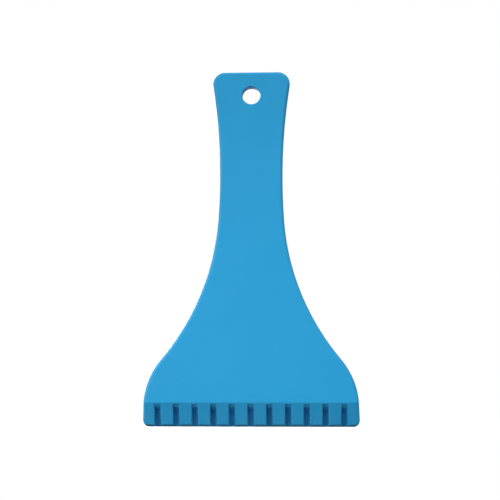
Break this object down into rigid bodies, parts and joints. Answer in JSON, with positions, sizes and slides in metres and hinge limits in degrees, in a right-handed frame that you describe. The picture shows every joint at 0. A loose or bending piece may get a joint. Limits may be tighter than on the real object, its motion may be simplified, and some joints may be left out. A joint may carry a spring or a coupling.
{
  "type": "windshield ice scraper",
  "caption": "Flat moulded scraper: a handle with a hanging hole flares into a wide bevelled blade with a row of ice-breaking grooves.",
  "frame": {"origin": "middle of the blade's lip, at the bottom centre of the bounding box", "axes": "+Z from the lip up the handle, +X across the blade, +Y out of the plain back; the grooved front faces -Y"},
  "size_m": [0.1066, 0.007, 0.18],
  "materials": {
    "scraper_plastic": "solid sky-blue moulded plastic with a satin surface"
  },
  "bodies": {
    "root": {"scraper_body": "scraper_plastic"}
  },
  "joints": []
}
